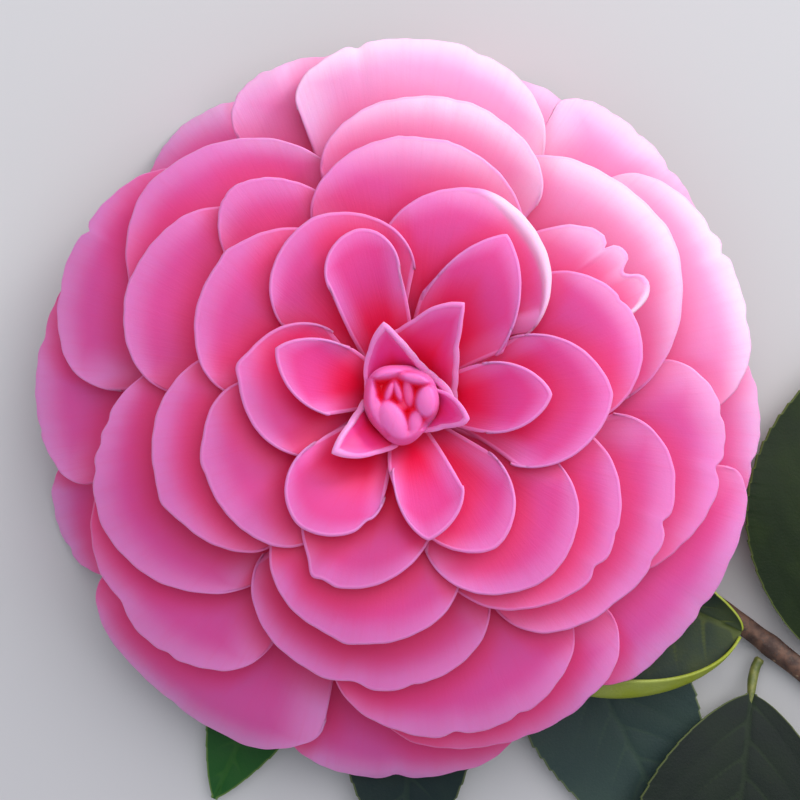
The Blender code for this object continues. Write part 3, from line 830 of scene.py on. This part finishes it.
def along(points, share):
    """The points at these shares of a cubic Bezier curve, and the unit normals to its left."""
    first, second, third, last = points
    share = np.asarray(share)[..., None]
    rest = 1 - share
    place = (
        rest**3 * first
        + 3 * rest**2 * share * second
        + 3 * rest * share**2 * third
        + share**3 * last
    )
    ahead = (
        rest**2 * (second - first)
        + 2 * rest * share * (third - second)
        + share**2 * (last - third)
    )
    ahead = ahead / np.linalg.norm(ahead, axis=-1, keepdims=True)
    return place, np.stack([-ahead[..., 1], ahead[..., 0]], axis=-1)


def share_at_radius(points, radius):
    """The share of the curve at which it reaches this radius, read off a fine table."""
    shares = np.linspace(0.1, 1.25, 500)
    radii = along(points, shares)[0][:, 0]
    rising = radii.argmax() + 1
    return np.interp(radius, radii[:rising], shares[:rising])


def petal_flat(name, level, across, outward):
    """Where a petal's grid lies on its bowl, before relief: share of the curve, and angle.

    A wedge that widens from its claw to a rounded end, whose rim drops away toward its
    sides as a superellipse does, less the marks of its own.
    """
    azimuth, reach, left, right, end_share, squareness, _ = PETALS[name]
    points = bowl(level)
    tip = share_at_radius(points, reach)
    shoulder = along(points, tip * (1 - end_share))[0][0]
    claw = math.radians(between(CLAW_ANGLES, min(1.0, level / CLAW_LEVELS)))
    widest = np.where(across > 0, left, right) / shoulder
    side = np.minimum(1.0, np.abs(across))
    end_share = end_share * (1 - np.sign(across) * LEANS.get(name, 0.0))
    drop = end_share * (1 - (1 - side**squareness) ** (1 / squareness))
    share = tip * outward * (1 - drop * outward**2)
    for place, depth, width in RIM_MARKS.get(name, ()):
        share = share - tip * depth * np.exp(-(((across - place) / width) ** 2)) * outward**8
    half_angle = claw + (widest - claw) * np.sin(np.pi / 2 * outward) ** 1.5
    angle = math.radians(azimuth) + across * half_angle
    if name in STRAIGHT_RIMS:
        turn, radius = np.array(STRAIGHT_RIMS[name]).T
        turn = np.radians(np.where(turn < turn[0], turn + 360, turn))
        point = turn[radius.argmax()]
        angle = point + across * np.where(across > 0, turn[-1] - point, point - turn[0])
        share = share_at_radius(points, np.interp(angle, turn, radius)) * outward
        angle = angle + 0 * outward
        half_angle = (turn[-1] - turn[0]) / 2
    return points, tip, share, angle, half_angle


levels = dict(zip(PETALS, petal_levels()))
rims = {}


def past_the_petals_above(angle, radius):
    """How far each point lies past the rims and sides of the petals placed before it."""
    clear = radius.copy()
    for rim_angle, rim_radius in rims.values():
        middle = rim_angle[len(rim_angle) // 2]
        turn = (angle - middle + np.pi) % (2 * np.pi) - np.pi
        ends = rim_angle - middle
        edge = np.interp(turn, ends, rim_radius)
        beside = np.maximum(np.maximum(turn - ends[-1], ends[0] - turn), 0) * radius
        clear = np.minimum(clear, np.hypot(beside, np.maximum(radius - edge, 0)))
    return clear


def softened(values, times):
    """Each value averaged with its neighbours on the grid, this many times."""
    for _ in range(times):
        wide = np.pad(values, 1, "edge")
        beside = wide[:-2, 1:-1] + wide[2:, 1:-1] + wide[1:-1, :-2] + wide[1:-1, 2:]
        values = (beside + 4 * values) / 8
    return values


def petal_surface(name, seed):
    """A petal's grid with its relief, which lifts it square to its bowl.

    Past the petals above it the blade rises a little toward its rim, cups up at its
    sides in the inner rows, and ripples in the outer ones. Its rim is a bead: a half
    wave as wide as the bead is. Under the petals above it keeps to its bowl.
    """
    level = levels[name]
    random = np.random.default_rng(seed)
    row = "abcdefgh".index(name[0]) / 7
    sweep = np.linspace(-1, 1, 101)[None]
    across = 0.5 * sweep + 0.5 * np.sin(sweep * np.pi / 2)
    step = np.linspace(0, 1, 49)[:, None]
    outward = 0.2 * step + 0.8 * np.sin(step * np.pi / 2)
    points, tip, share, angle, half_angle = petal_flat(name, level, across, outward)
    phases = random.uniform(0, 2 * np.pi, 5)
    scallop = np.sin(9 * across + phases[0]) + 0.6 * np.sin(17 * across + phases[1])
    scallop = scallop + 0.5 * np.sin(41 * across + 2 * phases[0])
    share = share * (1 - SCALLOP * row * scallop * outward**8)
    place, normal = along(points, share)
    radius, height = place[..., 0], place[..., 1]
    length = np.linalg.norm(np.diff(place, axis=0), axis=-1).sum(axis=0)

    clear = past_the_petals_above(angle, radius)
    rims[name] = (angle[-1], radius[-1])
    free = np.clip(clear / FREE_AFTER, 0, 1)
    free = softened(free**2 * (3 - 2 * free), 40)
    clear = softened(clear, 12)

    to_tip = (1 - outward) * length[None]
    to_side = (1 - np.abs(across)) * half_angle * radius
    left_bead, right_bead = BROAD_BEADS.get(name, (BEAD, BEAD))
    bead = right_bead + (left_bead - right_bead) * np.clip(2 * across + 0.5, 0, 1) + 0 * outward
    end_bead = bead if name in BROAD_BEADS else BEAD
    at_tip, at_side = to_tip / end_bead, to_side / bead
    rim = np.minimum(at_tip, at_side)
    wide = end_bead + (bead - end_bead) * (at_tip / (at_tip + at_side + 1e-6)) ** 2
    turned = np.clip((wide - BACK_SHOWS) / (BACK_WHOLE - BACK_SHOWS), 0, 1)
    if name not in STRAIGHT_RIMS:
        turned = 0.85 * turned * np.clip(1.2 * at_side / (at_tip + at_side + 1e-6), 0, 1) ** 2
    waves = np.zeros_like(radius)
    for count, phase in zip((1, 2, 3), phases[2:]):
        waves += random.uniform(0.5, 1.0) / count * np.sin(count * np.pi * across + phase)
    rise = RISE * (1 + row) * free * outward**4
    ripple = RIPPLE * row * waves * free * outward**4
    cupped = CUP * np.clip(1 - 1.8 * row, 0, 1) * np.abs(across) ** 2.2 * free * outward
    lift = rise + ripple + cupped
    for fold_place, depth, width in FOLDS.get(name, ()):
        crease = np.exp(-(((across - fold_place) / width) ** 2))
        lift = lift - depth * crease * free * outward**6
    bead_rise = BEAD_RISE * (1 - 0.5 * row) * wide
    lift = lift + bead_rise * np.sin(np.pi * np.clip(rim, 0, 1)) * outward
    lift = lift - RIM_DROP * np.clip(1 - rim, 0, 1) ** 2
    radius = radius + lift * normal[..., 0]
    height = height + lift * normal[..., 1] - PETALS[name][-1] * (share / tip) ** 3
    grid = np.stack([radius * np.cos(angle), radius * np.sin(angle), height], axis=-1)
    # Painted sunlight: petals toward the sun's side are painted paler, more the further out they
    # lie toward it.
    from_sun = (angle - SUNNY_SIDE + np.pi) % (2 * np.pi) - np.pi
    toward_sun = radius * np.cos(SUN_FADE * from_sun)
    painted_sunlight = np.clip((toward_sun - SUNLIGHT_START) / SUNLIGHT_GROWTH, 0, 1) * (1 - 0.4 * row**6)
    marks = dict(
        outward=outward,
        rim=np.minimum(rim, 3),
        inland=np.minimum(to_tip, to_side) / (2.6 + 5.5 * row),
        clear=clear,
        turned=turned,
        painted_sunlight=painted_sunlight,
        # shaded is painted shade: it grows across the bloom away from the sun and deepens the
        # painted shade next to the petals above.
        shaded=np.clip(0.5 - radius * np.cos(from_sun) / SHADE_REACH, 0, 1),
        row=row,
    )
    return grid, marks


def petal_finish():
    """Red at its foot, pink along its blade, lilac toward a pale rim, with faint veins.

    It is painted redder next to the petals above it, as painted shade that is stronger on the
    side away from the sun, and painted paler on the bloom's sunny side as painted sunlight.
    The red foot, the lilac toward the rim and the pale rim line are partly the petal's own
    colour and partly painted shade, sky reflection and highlight.
    """
    made, tree, shader, where = finish(
        "petal_silk",
        Roughness=0.5,
        Specular_IOR_Level=0.32,
        Subsurface_Weight=0.45,
        Subsurface_Radius=(1.0, 0.25, 0.45),
        Subsurface_Scale=0.0022,
        Sheen_Weight=0.06,
        Sheen_Roughness=0.35,
    )
    weave = node(tree, "UVMap", {"uv_map": "weave"}).outputs[0]
    veins = grain(tree, stretched(tree, weave, (46.0, 1.4, 1.0)), 1.0, 3.0)
    fine = grain(tree, stretched(tree, weave, (170.0, 7.0, 1.0)), 1.0, 2.0)
    cells = grain(tree, where, 3600.0, 2.0)
    cloud = grain(tree, where, 60.0, 3.0)
    row = told(tree, "row")
    outward = told(tree, "outward")
    clear = told(tree, "clear")
    painted_sunlight = told(tree, "painted_sunlight")
    deep = blend(tree, row, srgb(238, 4, 56), srgb(236, 44, 112))
    # Painted sunlight: on the bloom's sunny side the deep, middle and pale tones are each painted
    # paler, toward these near-white pinks.
    deep = blend(tree, sums(tree, "MULTIPLY", painted_sunlight, 0.5), deep, srgb(248, 140, 190))
    middle = blend(tree, row, srgb(226, 54, 138), srgb(224, 82, 158))
    middle = blend(tree, sums(tree, "MULTIPLY", painted_sunlight, 0.85), middle, srgb(250, 176, 214))
    pale = blend(tree, row, srgb(228, 108, 186), srgb(238, 144, 206))
    pale = blend(tree, sums(tree, "MULTIPLY", painted_sunlight, 0.95), pale, srgb(254, 224, 240))
    drift = sums(tree, "MULTIPLY", sums(tree, "SUBTRACT", cloud, 0.5), 0.10)
    grow = sums(tree, "ADD", outward, drift)
    # Red toward the foot: partly the petal's own colour and partly painted shade where the foot
    # goes under the petals above.
    colour = blend(tree, band(tree, grow, 0.38, 0.80), deep, middle)
    # Pale lilac toward the rim: partly the petal's own paler margin and partly painted sky
    # reflection.
    colour = blend(tree, band(tree, told(tree, "inland"), 1.0, 0.0, 0.0, 0.85), colour, pale)
    # Painted shade: within 6 mm of the petals above, the colour is painted toward the deep red,
    # more on the side away from the sun.
    depth = sums(tree, "ADD", sums(tree, "MULTIPLY", told(tree, "shaded"), 0.5), 0.4)
    depth = sums(tree, "MULTIPLY", depth, band(tree, clear, 6.0, 0.0))
    colour = blend(tree, depth, colour, deep)
    streak = band(tree, veins, 0.45, 0.75, 0.0, 0.08)
    colour = blend(tree, streak, colour, deep)
    # Pale line along the rim: partly the petal's own pale margin and partly a painted highlight
    # where the thin rim catches the light, fainter on the outer rows.
    edge = band(tree, told(tree, "rim"), 1.1, 0.7, 0.0, 0.85)
    faint = sums(tree, "SUBTRACT", 1.0, sums(tree, "MULTIPLY", row, 0.85))
    colour = blend(tree, sums(tree, "MULTIPLY", edge, faint), colour, srgb(236, 134, 198))
    # The turned-over margin is painted as the petal's pale back, with a painted highlight where
    # the rolled margin catches the light.
    roll = band(tree, told(tree, "rim"), 1.3, 0.5)
    rolled_margin_and_highlight = sums(tree, "MULTIPLY", roll, told(tree, "turned"))
    back = blend(tree, band(tree, row, 0.0, 0.4), srgb(236, 152, 208), srgb(250, 200, 228))
    colour = blend(tree, rolled_margin_and_highlight, colour, back)
    tree.links.new(colour, shader.inputs["Base Color"])
    ribs = sums(tree, "MULTIPLY", veins, 0.6)
    height = sums(tree, "ADD", ribs, sums(tree, "MULTIPLY", fine, 0.25))
    height = sums(tree, "ADD", height, sums(tree, "MULTIPLY", cells, 0.3))
    tree.links.new(relief(tree, height, 0.00005), shader.inputs["Normal"])
    return made


petal_silk = petal_finish()
for seed, petal_name in enumerate(PETALS):
    surface, marks = petal_surface(petal_name, seed)
    petal = skin(f"petal_{petal_name}_silk", surface, **marks)
    petal.data.materials.append(petal_silk)
    shell = petal.modifiers.new("thickness", "SOLIDIFY")
    shell.thickness = PETAL_THICK * MM
    shell.offset = 0.0
    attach(petal, "root")
    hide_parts(f"petal_{petal_name}")

# The heart. Small petals that haven't opened, pressed together into rounded knots and lips
# round hollows painted dark red as painted shade. They grow from the top of the core, and
# their backs show, pale at the crown, partly as a painted highlight.
HEART_FOOT = CORE_TOP + TOUCHING_GAP
HEART_FLOOR = 37.7
CREASE_LEVEL = 38
CREASE = 7.0
# The outline's radius at each eighth of a turn, and then the skirt's share of it and height.
HEART_OUTLINE = (5.0, 5.1, 5.0, 5.6, 5.2, 5.0, 5.8, 4.8)
SKIRT = (
    (0.97, 37.3),
    (0.88, 36.0),
    (0.68, 33.5),
    (0.45, 31.2),
    (0.34, 30.5),
    (0.3, HEART_FOOT),
    (0.0, HEART_FOOT),
)
# Middle, half length, half width, turn in degrees, height of the crown and its roundness.
KNOTS = (
    ((-2.65, 4.1), 2.3, 0.75, 6, 40.7, 0.35),
    ((-4.3, 1.3), 2.4, 0.7, 97, 40.2, 0.4),
    ((1.95, 3.2), 1.9, 0.6, -10, 40.4, 0.35),
    ((3.4, 0.1), 2.0, 1.5, 85, 40.7, 0.8),
    ((-1.2, -2.5), 2.8, 1.6, -62, 40.6, 0.9),
    ((1.7, -2.8), 1.6, 0.95, 80, 40.1, 0.6),
    ((-3.4, -1.4), 3.0, 1.0, -66, 40.1, 0.5),
    ((0.6, -4.7), 2.8, 0.9, 12, 40.0, 0.4),
    ((-1.75, 1.4), 1.2, 0.42, 70, 39.8, 0.3),
    ((-0.6, 1.5), 1.2, 0.4, 108, 39.8, 0.3),
    ((0.8, 1.2), 1.8, 0.7, 98, 39.6, 0.5),
    ((0.0, -0.5), 1.4, 0.8, 40, 39.1, 0.5),
)


def heart_surface(rows=88, columns=300):
    """The knots as one skin: at each point the smooth highest of their crowns and the floor.

    A crown falls from its top as roundness x (1 - sqrt(1 - out squared)), where out is 1
    at the knot's outline, and steeply past it. A skirt draws in under the skin's edge to
    the top of the core.
    """
    turn = np.linspace(0, 2 * np.pi, columns, endpoint=False)[None]
    eighth = np.degrees(turn) / 45
    bend = eighth % 1.0
    bend = bend * bend * (3 - 2 * bend)
    edge = np.interp(np.floor(eighth) + bend, np.arange(9), HEART_OUTLINE + HEART_OUTLINE[:1])
    share = np.sin(np.linspace(0, 1, rows) * np.pi / 2)[:, None]
    x, y = share * edge * np.cos(turn), share * edge * np.sin(turn)
    total = np.exp(CREASE * (HEART_FLOOR - CREASE_LEVEL + 0 * x))
    for middle, half_length, half_width, angle, top, roundness in KNOTS:
        cos, sin = math.cos(math.radians(angle)), math.sin(math.radians(angle))
        aside, ahead = x - middle[0], y - middle[1]
        lengthwise = (aside * cos + ahead * sin) / half_length
        out = np.hypot(lengthwise, (ahead * cos - aside * sin) / half_width)
        crown = top - roundness * (1 - np.sqrt(np.maximum(0, 1 - out**2)))
        crown = crown - 3.0 * np.maximum(out - 1, 0) * half_width
        total = total + np.exp(CREASE * (crown - CREASE_LEVEL))
    z = CREASE_LEVEL + np.log(total) / CREASE
    z = z - 1.4 * np.clip((share - 0.8) / 0.2, 0, 1) ** 2
    part, low = np.array(SKIRT).T[:, :, None]
    skirt = np.stack([x[-1] * part, y[-1] * part, low + 0 * x[-1]], axis=-1)
    grid = np.concatenate([np.stack([x, y, z], axis=-1), skirt])
    # The colour follows height: low in the hollows it is painted deep red as painted shade, and
    # toward the crowns it is paler, partly a painted highlight.
    up = np.clip((grid[..., 2] - 38.2) / 2.2, 0, 1)
    up[:rows] = np.maximum(up[:rows], 0.8 * np.clip((share - 0.7) / 0.2, 0, 1))
    up[rows:] = 0.8
    marks = dict(
        outward=0.3 + 0.7 * up,
        rim=3.0,
        inland=1.2 * (1 - up),
        clear=6 * up,
        turned=0.0,
        painted_sunlight=0.0,
        shaded=0.5,
        row=0.3 * up,
    )
    return grid, marks


surface, marks = heart_surface()
heart = skin("heart_knots", surface, shut=True, **marks)
heart.data.materials.append(petal_silk)
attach(heart, "root")
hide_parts("bud")

# The studio. A plain pale floor that isn't part of the object, a broad lamp high up and a
# low one, both beyond the photo's upper right corner, cool pale air all round, and a
# camera that looks straight down into the bloom.
FOCAL_LENGTH = 119.07
SENSOR_WIDTH = 36.0
CAMERA_HEIGHT = 393.0
CAMERA_ASIDE = (-0.3, 0.3)

floor_mesh = bpy.data.meshes.new("floor")
floor_mesh.from_pydata([(-2, -2, 0), (2, -2, 0), (2, 2, 0), (-2, 2, 0)], [], [(0, 1, 2, 3)])
floor = bpy.data.objects.new("floor", floor_mesh)
floor.location = (0, 0, -0.0002)
bpy.context.scene.collection.objects.link(floor)
pale, _, pale_shader, _ = finish("floor_pale", Roughness=0.9, Specular_IOR_Level=0.05)
pale_shader.inputs["Base Color"].default_value = (0.60, 0.60, 0.60, 1.0)
floor.data.materials.append(pale)


def lamp(name, place, aim, size, power, colour):
    """An area light at this place that looks at this point, in millimetres from the axis."""
    light = bpy.data.lights.new(name, "AREA")
    light.shape = "DISK"
    light.size = size
    light.energy = power
    light.color = colour
    obj = bpy.data.objects.new(name, light)
    east, north, up = np.array(place) - aim
    obj.location = (to_frame + place) * MM
    tilt = math.atan2(math.hypot(east, north), up)
    obj.rotation_euler = (tilt, 0, math.atan2(north, east) + math.pi / 2)
    obj.visible_camera = False
    bpy.context.scene.collection.objects.link(obj)


lamp("overhead_light", (287, 410, 886), (0, 0, 20), 1.3, 7.6, (1.0, 0.97, 0.98))
lamp("low_light", (612, 612, 268), (0, 0, 20), 0.3, 5.0, (1.0, 0.98, 0.96))

world = bpy.data.worlds.new("studio_air")
world.use_nodes = True
world.node_tree.nodes["Background"].inputs["Color"].default_value = (0.84, 0.88, 1.0, 1.0)
world.node_tree.nodes["Background"].inputs["Strength"].default_value = 0.56
bpy.context.scene.world = world
bpy.context.scene.view_settings.view_transform = "Standard"

camera_data = bpy.data.cameras.new("camera")
camera_data.lens = FOCAL_LENGTH
camera_data.sensor_width = SENSOR_WIDTH
camera = bpy.data.objects.new("camera", camera_data)
camera.location = (
    (to_frame[0] + CAMERA_ASIDE[0]) * MM,
    (to_frame[1] + CAMERA_ASIDE[1]) * MM,
    (to_frame[2] + CAMERA_HEIGHT) * MM,
)
bpy.context.scene.collection.objects.link(camera)
bpy.context.scene.camera = camera
